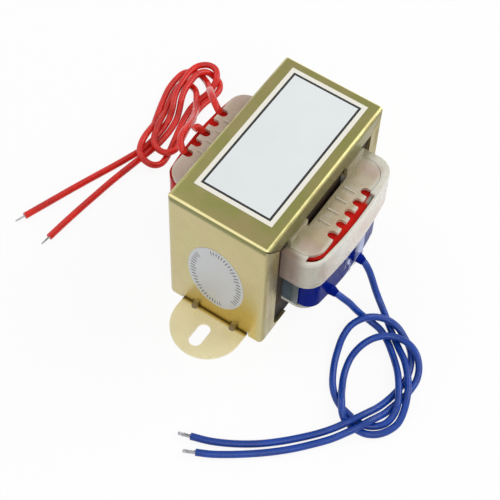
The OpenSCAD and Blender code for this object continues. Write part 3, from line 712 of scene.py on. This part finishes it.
def smooth_route(route, steps=6):
    """Points on a smooth curve through a route, in metres."""
    points = [Vector((*p, RESTING)[:3]) * MM for p in route]
    ends = [2 * points[0] - points[1]] + points + [2 * points[-1] - points[-2]]
    line = []
    for a, b, c, d in zip(ends, ends[1:], ends[2:], ends[3:]):
        for step in range(steps):
            u = step / steps
            line.append((2 * b + (c - a) * u + (2 * a - 5 * b + 4 * c - d) * u * u
                         + (3 * b - a - 3 * c + d) * u ** 3) / 2)
    return line + [points[-1]]


def bent_tube(name, line, diameter, slot, node):
    """A curve with one open spline through line, as thick as diameter."""
    curve = bpy.data.curves.new(name, "CURVE")
    curve.dimensions = "3D"
    spline = curve.splines.new("POLY")
    spline.points.add(len(line) - 1)
    for point, place in zip(spline.points, line):
        point.co = (*place, 1)
        point.radius = 1
    spline.use_smooth = True
    curve.bevel_depth = diameter / 2
    curve.bevel_resolution = 4
    curve.use_fill_caps = True
    return settle(placed(name, curve), slot, [node])


def across_line(start, end):
    """The ways along a line, level across it, and square to both."""
    along = (end - start).normalized()
    side = along.cross(Vector((0, 0, 1))).normalized()
    return along, side, side.cross(along)


def twisted_tip(name, line, diameter, reach, node):
    """Tinned strands twisted together, running on from the end of a lead."""
    along, side, up = across_line(line[-3], line[-1])
    work = bmesh.new()
    strands, rings, corners = 7, 28, 7
    strand_radius = diameter / 6
    twist, in_sleeve = 0.9, 0.4 * MM
    for strand in range(strands):
        out = diameter / 2 - strand_radius if strand else 0
        tube = []
        for ring in range(rings + 1):
            u = ring / rings
            turn = math.tau * (strand / (strands - 1) + twist * u)
            gathered = out * (1 - 0.25 * max(0, u - 0.8) / 0.2)
            centre = (line[-1] + along * (u * reach - in_sleeve)
                      + gathered * (math.cos(turn) * side + math.sin(turn) * up))
            tube.append([work.verts.new(
                centre + strand_radius * (math.cos(a) * side + math.sin(a) * up))
                for a in (math.tau * corner / corners for corner in range(corners))])
        capped_tube(work, tube)
    return settle(from_bmesh(name, work, 50), "tinned_wire", [node])


def lead(name, route, slot, diameter, wire_diameter, tip_length):
    """A flying lead with its bare end."""
    node = name.lower()
    line = smooth_route(route)
    piece = bent_tube(name, line, diameter, slot, node)
    tip = twisted_tip(name + "_Tip", line, wire_diameter, tip_length, node + "_tip")


def coil_outline(reach, steps=10):
    """Points round a coil, in metres: round corners, and long sides that bow outwards."""
    x, y = reach.x - COIL_CORNER, reach.y - COIL_BOW - COIL_CORNER
    arc = [Vector((x + COIL_CORNER * math.cos(a), y + COIL_CORNER * math.sin(a)))
           for a in (math.radians(90 * step / steps) for step in range(steps + 1))]
    bowed = [Vector((u * x, reach.y - COIL_BOW * u * u))
             for u in (1 - step / steps for step in range(1, 2 * steps))]
    half = arc + bowed + [Vector((-p.x, p.y)) for p in reversed(arc)]
    return half + [-p for p in half]


def resampled(outline, count):
    """count points spaced evenly round a closed outline, with the outward way at each."""
    ring = outline + outline[:1]
    gap = sum((b - a).length for a, b in zip(ring, ring[1:])) / count
    points, walked, at = [], 0.0, 0
    for index in range(count):
        want = index * gap
        while walked + (ring[at + 1] - ring[at]).length < want:
            walked += (ring[at + 1] - ring[at]).length
            at += 1
        share = (want - walked) / (ring[at + 1] - ring[at]).length
        points.append(ring[at].lerp(ring[at + 1], share))
    ways = ((after - before).normalized()
            for before, after in zip(points[-1:] + points[:-1], points[1:] + points[:1]))
    return points, [Vector((way.y, -way.x)) for way in ways]


def tape_wrap(name, node, slot, seed):
    """Tape wound round a coil: drawn in between wrinkles, with a torn end that overlaps."""
    low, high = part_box(node)
    columns, rows = 360, 14
    around, down = 160, 70  # wrinkles in a metre
    thickness, build = 0.07 * MM, 0.4 * MM  # of one layer, and of them all
    doubled_from, doubled_to = 0.16, 0.62  # where the torn end overlaps
    points, outward = resampled(coil_outline(high), columns)
    wrinkle = bpy.context.scene.transformer_sizes.wrinkle
    shift = Vector((seed * 3.1, seed * 1.7, 0))
    work = bmesh.new()
    outer, inner = [], []
    for row in range(rows + 1):
        v = row / rows
        z = low.z + (high.z - low.z) * v
        frayed = {0: 0.1 * MM, rows: -0.1 * MM}.get(row)
        ring_out, ring_in = [], []
        for index, (point, way) in enumerate(zip(points, outward)):
            place = Vector((point.x * around, point.y * around, z * down)) + shift
            fold = noise.noise(place) * 0.6 + noise.noise(place * 3.1) * 0.4
            pull = -wrinkle * (0.5 + 0.5 * fold) - 0.08 * MM * math.sin(math.pi * v) ** 2
            overlap = thickness if doubled_from < index / columns < doubled_to else 0.0
            edge = 0.12 * MM * noise.noise(place * 2.3 + Vector((0, 0, 9)))
            height = z if frayed is None else z + edge + frayed
            for ring, reach in ((ring_out, pull + overlap - thickness), (ring_in, -build)):
                spot = point + way * reach
                ring.append(work.verts.new((spot.x, spot.y, height)))
        outer.append(ring_out)
        inner.append(ring_in)
    rings = outer + inner[::-1]
    for ring, following in zip(rings, rings[1:] + rings[:1]):
        band(work, ring, following)
    settle(from_bmesh(name, work, 60), slot, [node])


def printed(work, name, slot, look, into):
    """Makes flat printed faces a hair thick, on the paper below them."""
    made = bmesh.ops.extrude_face_region(work, geom=work.faces[:])
    for vert in (v for v in made["geom"] if isinstance(v, bmesh.types.BMVert)):
        vert.co += Vector(into) * PRINT_THICKNESS
    settle(from_bmesh(name, work, 20), slot, look=look)


# ---- operators ----

class TRANSFORMER_OT_stage(bpy.types.Operator):
    """Makes the floor, the lamps, the white surroundings and the camera."""
    bl_idname = "transformer.stage"
    bl_label = "Stage and Camera"

    def execute(self, context):
        scene = context.scene
        scene.view_settings.view_transform = "Standard"
        self.camera(scene)
        self.floor(scene)
        self.surroundings(scene)
        middle = Vector((0, 0, 0.02))
        for name, place, size, power in (("Key", (-0.42, -0.38, 0.75), 0.5, 1.6),
                                         ("Fill", (0.55, -0.45, 0.6), 0.6, 2.9),
                                         ("Back", (0.1, 0.6, 0.7), 0.5, 1.0)):
            data = bpy.data.lights.new(name, "AREA")
            data.size = size
            data.energy = power
            lamp = placed(name, data)
            lamp.location = place
            lamp.rotation_euler = (middle - Vector(place)).to_track_quat("-Z", "Y").to_euler()
        return {"FINISHED"}

    def camera(self, scene):
        """A long lens, turned to one corner of the transformer from above."""
        azimuth, elevation, roll = (math.radians(a) for a in CAMERA_TURNS)
        back = Vector((math.sin(azimuth) * math.cos(elevation),
                       -math.cos(azimuth) * math.cos(elevation), math.sin(elevation)))
        right = Vector((math.cos(azimuth), math.sin(azimuth), 0))
        up = back.cross(right)
        x_axis = math.cos(roll) * right + math.sin(roll) * up
        y_axis = math.cos(roll) * up - math.sin(roll) * right
        data = bpy.data.cameras.new("Camera")
        data.sensor_width = 36
        data.lens = CAMERA_LENS
        data.clip_start = 0.01
        data.clip_end = 20
        camera = placed("Camera", data)
        turned = Matrix((x_axis, y_axis, back)).transposed()
        place = Vector(CAMERA_TARGET) * MM + CAMERA_DISTANCE * back
        camera.matrix_world = Matrix.Translation(place) @ turned.to_4x4()
        scene.camera = camera

    def floor(self, scene):
        """A white ground that glows where it is looked at, and takes soft shadows."""
        work = bmesh.new()
        bmesh.ops.create_grid(work, x_segments=1, y_segments=1, size=3)
        piece = from_bmesh("Floor", work)
        piece.location.z = -FLOOR_DROP
        look = Look("Floor_White", Roughness=0.9, Specular_IOR_Level=0.0,
                    Base_Color=scene.transformer_colours.floor)
        glow = look.node("Emission", Strength=1.0)
        blend = look.node("MixShader", Fac=look.times(look.seen(), 0.9))
        look.feed(blend.inputs[1], look.shader.outputs["BSDF"])
        look.feed(blend.inputs[2], glow.outputs["Emission"])
        output = next(n for n in look.tree.nodes if n.type == "OUTPUT_MATERIAL")
        look.feed(output.inputs["Surface"], blend.outputs["Shader"])
        piece.data.materials.append(look.material)

    def surroundings(self, scene):
        """A white room that looks brighter than the light that it sheds."""
        scene.world = bpy.data.worlds.new("White_Room")
        scene.world.use_nodes = True
        room = Nodes(scene.world.node_tree)
        background = next(n for n in room.tree.nodes if n.type == "BACKGROUND")
        clamp = room.node("Clamp", Value=room.seen())
        room.feed(background.inputs["Color"], (1, 1, 1))
        room.feed(background.inputs["Strength"], room.spread(clamp.outputs["Result"], 0.5, 1.0))


class TRANSFORMER_OT_leads(bpy.types.Operator):
    """Lays the four flying leads, their bare ends and the cut-off tap."""
    bl_idname = "transformer.leads"
    bl_label = "Leads"

    def execute(self, context):
        sizes = context.scene.transformer_sizes
        for name, route in (("Primary_Lead_A", PRIMARY_A), ("Primary_Lead_B", PRIMARY_B)):
            lead(name, route, "red_lead", sizes.lead, sizes.primary_wire, 3.6 * MM)
        for name, route in (("Secondary_Lead_A", SECONDARY_A), ("Secondary_Lead_B", SECONDARY_B)):
            lead(name, route, "blue_lead", sizes.lead, sizes.secondary_wire, 4.0 * MM)
        bent_tube("Primary_Stub", smooth_route(STUB), sizes.lead, "red_lead", "primary_stub")
        return {"FINISHED"}


class TRANSFORMER_OT_frame(bpy.types.Operator):
    """Dresses the folded clamp frame with its ears and slots."""
    bl_idname = "transformer.frame"
    bl_label = "Clamp Frame"

    def execute(self, context):
        edge = context.scene.transformer_sizes.steel_edge
        dressed("Clamp_Frame", "shell", "plated_steel", edge)
        return {"FINISHED"}


class TRANSFORMER_OT_core(bpy.types.Operator):
    """Finishes the core's sheets."""
    bl_idname = "transformer.core"
    bl_label = "Core"

    def execute(self, context):
        for node in ("e_laminations", "i_laminations"):
            carry_over(node, "core_steel")
        return {"FINISHED"}


class TRANSFORMER_OT_bobbin(bpy.types.Operator):
    """Dresses the two-section bobbin and the cover over its primary."""
    bl_idname = "transformer.bobbin"
    bl_label = "Bobbin and Cover"

    def execute(self, context):
        edge = context.scene.transformer_sizes.plastic_edge
        dressed("Bobbin", "bobbin", "clear_plastic", edge)
        dressed("Primary_Cover", "primary_cover", "clear_plastic", edge)
        return {"FINISHED"}


class TRANSFORMER_OT_windings(bpy.types.Operator):
    """Wraps both windings in tape and lays the films round the secondary."""
    bl_idname = "transformer.windings"
    bl_label = "Windings and Tape"

    def execute(self, context):
        for node in ("primary_winding", "secondary_winding"):
            carry_over(node, "enamelled_copper")
        tape_wrap("Primary_Tape", "primary_tape", "red_tape", 1)
        tape_wrap("Secondary_Tape", "secondary_tape", "blue_tape", 2)
        carry_over("window_liners", "liner_film")
        self.joint_film()
        self.top_flap("Primary_Flap_Front", -1)
        self.top_flap("Primary_Flap_Back", 1)
        self.joint_wrap("Joint_Wrap_A", SECONDARY_A)
        self.joint_wrap("Joint_Wrap_B", SECONDARY_B)
        return {"FINISHED"}

    def joint_film(self):
        """A folded sheet of film, creased and lifted where the leads start."""
        low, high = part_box("joint_cover")
        least, lift, thickness = 0.12, 0.3, Vector((0, 0.08 * MM, 0))

        def lifted(u, v):
            place = Vector((u * 5.5, v * 3.2, 4.0))
            fold = (abs(noise.noise(place)) * 0.5
                    + 0.35 * abs(math.sin(7 * u + 1.3 * v + 0.6)) ** 3
                    + 0.15 * noise.noise(place * 3))
            return Vector((low.x + (high.x - low.x) * u,
                           high.y - (least + lift * max(0, min(1, fold))) * MM,
                           low.z + (high.z - low.z) * v))
        settle(thin_sheet("Joint_Film", lifted, 64, 40, thickness), "clear_film",
               ["joint_cover"])

    def joint_wrap(self, name, route):
        """Tape folded round the start of a secondary lead, wrinkled and drawn in at its mouth."""
        line = smooth_route(route)[:6]
        start, end = 2 * line[0] - line[4], line[-1]
        _, side, up = across_line(start, end)
        lead_radius = bpy.context.scene.transformer_sizes.lead / 2
        columns, rows, mouth = 40, 14, 0.96

        def spot(u, v):
            at = start.lerp(end, min(v, mouth))
            way = math.cos(math.tau * u) * side + math.sin(math.tau * u) * up
            crumple = noise.noise(Vector((3 * way.x, 3 * way.z, 4 * v)) + at * 40)
            swell = 0.5 * (1 - v) + 0.1 + 0.3 * crumple * (1 - v) if v < mouth else 0.01
            return at + way * (lead_radius + swell * MM)
        work = bmesh.new()
        capped_tube(work, [[work.verts.new(spot(c / columns, r / rows))
                            for c in range(columns)] for r in range(rows + 1)])
        settle(from_bmesh(name, work, 60), "blue_tape")

    def top_flap(self, name, side):
        """Tape folded in over the top of the primary, under the upper flange."""
        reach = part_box("primary_tape")[1]
        level = (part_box("primary_winding")[1].z + reach.z) / 2
        inner, thickness = 18.2 * MM, Vector((0, 0, 0.04 * MM))
        straight = reach.x - COIL_CORNER

        def spot(u, v):
            x = (2 * u - 1) * (reach.x - 0.15 * MM)
            beyond = max(0, abs(x) - straight)
            edge = (reach.y - 0.12 * MM - COIL_BOW * min(1, abs(x) / straight) ** 2
                    - COIL_CORNER + math.sqrt(COIL_CORNER ** 2 - beyond ** 2))
            place = Vector((x * 260, v * 3, side))
            return Vector((x, side * (inner + (edge - inner) * v),
                           level + 0.09 * MM * noise.noise(place)))
        settle(thin_sheet(name, spot, 90, 8, thickness), "red_tape")


class TRANSFORMER_OT_labels(bpy.types.Operator):
    """Lays the blank bordered label and the oval sticker with its ring of ticks."""
    bl_idname = "transformer.labels"
    bl_label = "Label and Sticker"

    def execute(self, context):
        sizes = context.scene.transformer_sizes
        dressed("Label", "label", "label_paper", PAPER_EDGE, 1)
        self.border(sizes)
        dressed("Round_Sticker", "round_sticker", "silver_paper", PAPER_EDGE, 1)
        self.ticks()
        return {"FINISHED"}

    def border(self, sizes):
        """A printed line near the label's edge."""
        low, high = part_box("label")
        top = high.z + PRINT_THICKNESS
        work = bmesh.new()
        band(work, *([work.verts.new((x, y, top)) for x, y in (
            (low.x + inset, low.y + inset), (high.x - inset, low.y + inset),
            (high.x - inset, high.y - inset), (low.x + inset, high.y - inset))]
            for inset in (sizes.border_inset, sizes.border_inset + sizes.border)))
        printed(work, "Label_Border", "label_paper", "label_print", (0, 0, -1))

    def ticks(self):
        """Short marks in a ring near the sticker's edge, in two halves."""
        low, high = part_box("round_sticker")
        centre, reach = (low + high) / 2, (high - low) / 2
        work = bmesh.new()
        count, half, gap, first, width = 54, 27, 2, 1.0, 0.02
        for index in range(count):
            if min(index % half, half - index % half) <= gap:
                continue
            a = math.tau * index / count + first
            outer, inner = 0.9, 2.4 if index % 3 else 2.8
            work.faces.new([work.verts.new((
                low.x - PRINT_THICKNESS, (reach.y - inset * MM) * math.cos(a + turn),
                centre.z + (reach.z - inset * MM) * math.sin(a + turn)))
                for inset, turn in ((outer, -width), (outer, width),
                                    (inner, width), (inner, -width))])
        printed(work, "Sticker_Ticks", "silver_paper", "sticker_print", (1, 0, 0))


class TRANSFORMER_PT_panel(bpy.types.Panel):
    """Lists the transformer's parts, in the order in which they are made."""
    bl_idname = "TRANSFORMER_PT_panel"
    bl_label = "Chassis Transformer"
    bl_space_type = "VIEW_3D"
    bl_region_type = "UI"
    bl_category = "Transformer"

    def draw(self, context):
        layout = self.layout
        for operator in OPERATORS:
            layout.operator(operator.bl_idname)
        for values in (context.scene.transformer_sizes, context.scene.transformer_colours):
            column = layout.column()
            for name in values.__annotations__:
                column.prop(values, name)


OPERATORS = (TRANSFORMER_OT_stage, TRANSFORMER_OT_leads, TRANSFORMER_OT_frame,
             TRANSFORMER_OT_core, TRANSFORMER_OT_bobbin, TRANSFORMER_OT_windings,
             TRANSFORMER_OT_labels)
CLASSES = (TransformerColours, TransformerSizes, *OPERATORS, TRANSFORMER_PT_panel)


def register():
    for made in CLASSES:
        bpy.utils.register_class(made)
    bpy.types.Scene.transformer_colours = bpy.props.PointerProperty(type=TransformerColours)
    bpy.types.Scene.transformer_sizes = bpy.props.PointerProperty(type=TransformerSizes)


def unregister():
    del bpy.types.Scene.transformer_sizes
    del bpy.types.Scene.transformer_colours
    for made in reversed(CLASSES):
        bpy.utils.unregister_class(made)


def main():
    register()
    for group_name, operator in (o.bl_idname.split(".") for o in OPERATORS):
        getattr(getattr(bpy.ops, group_name), operator)()


if __name__ == "__main__":
    main()
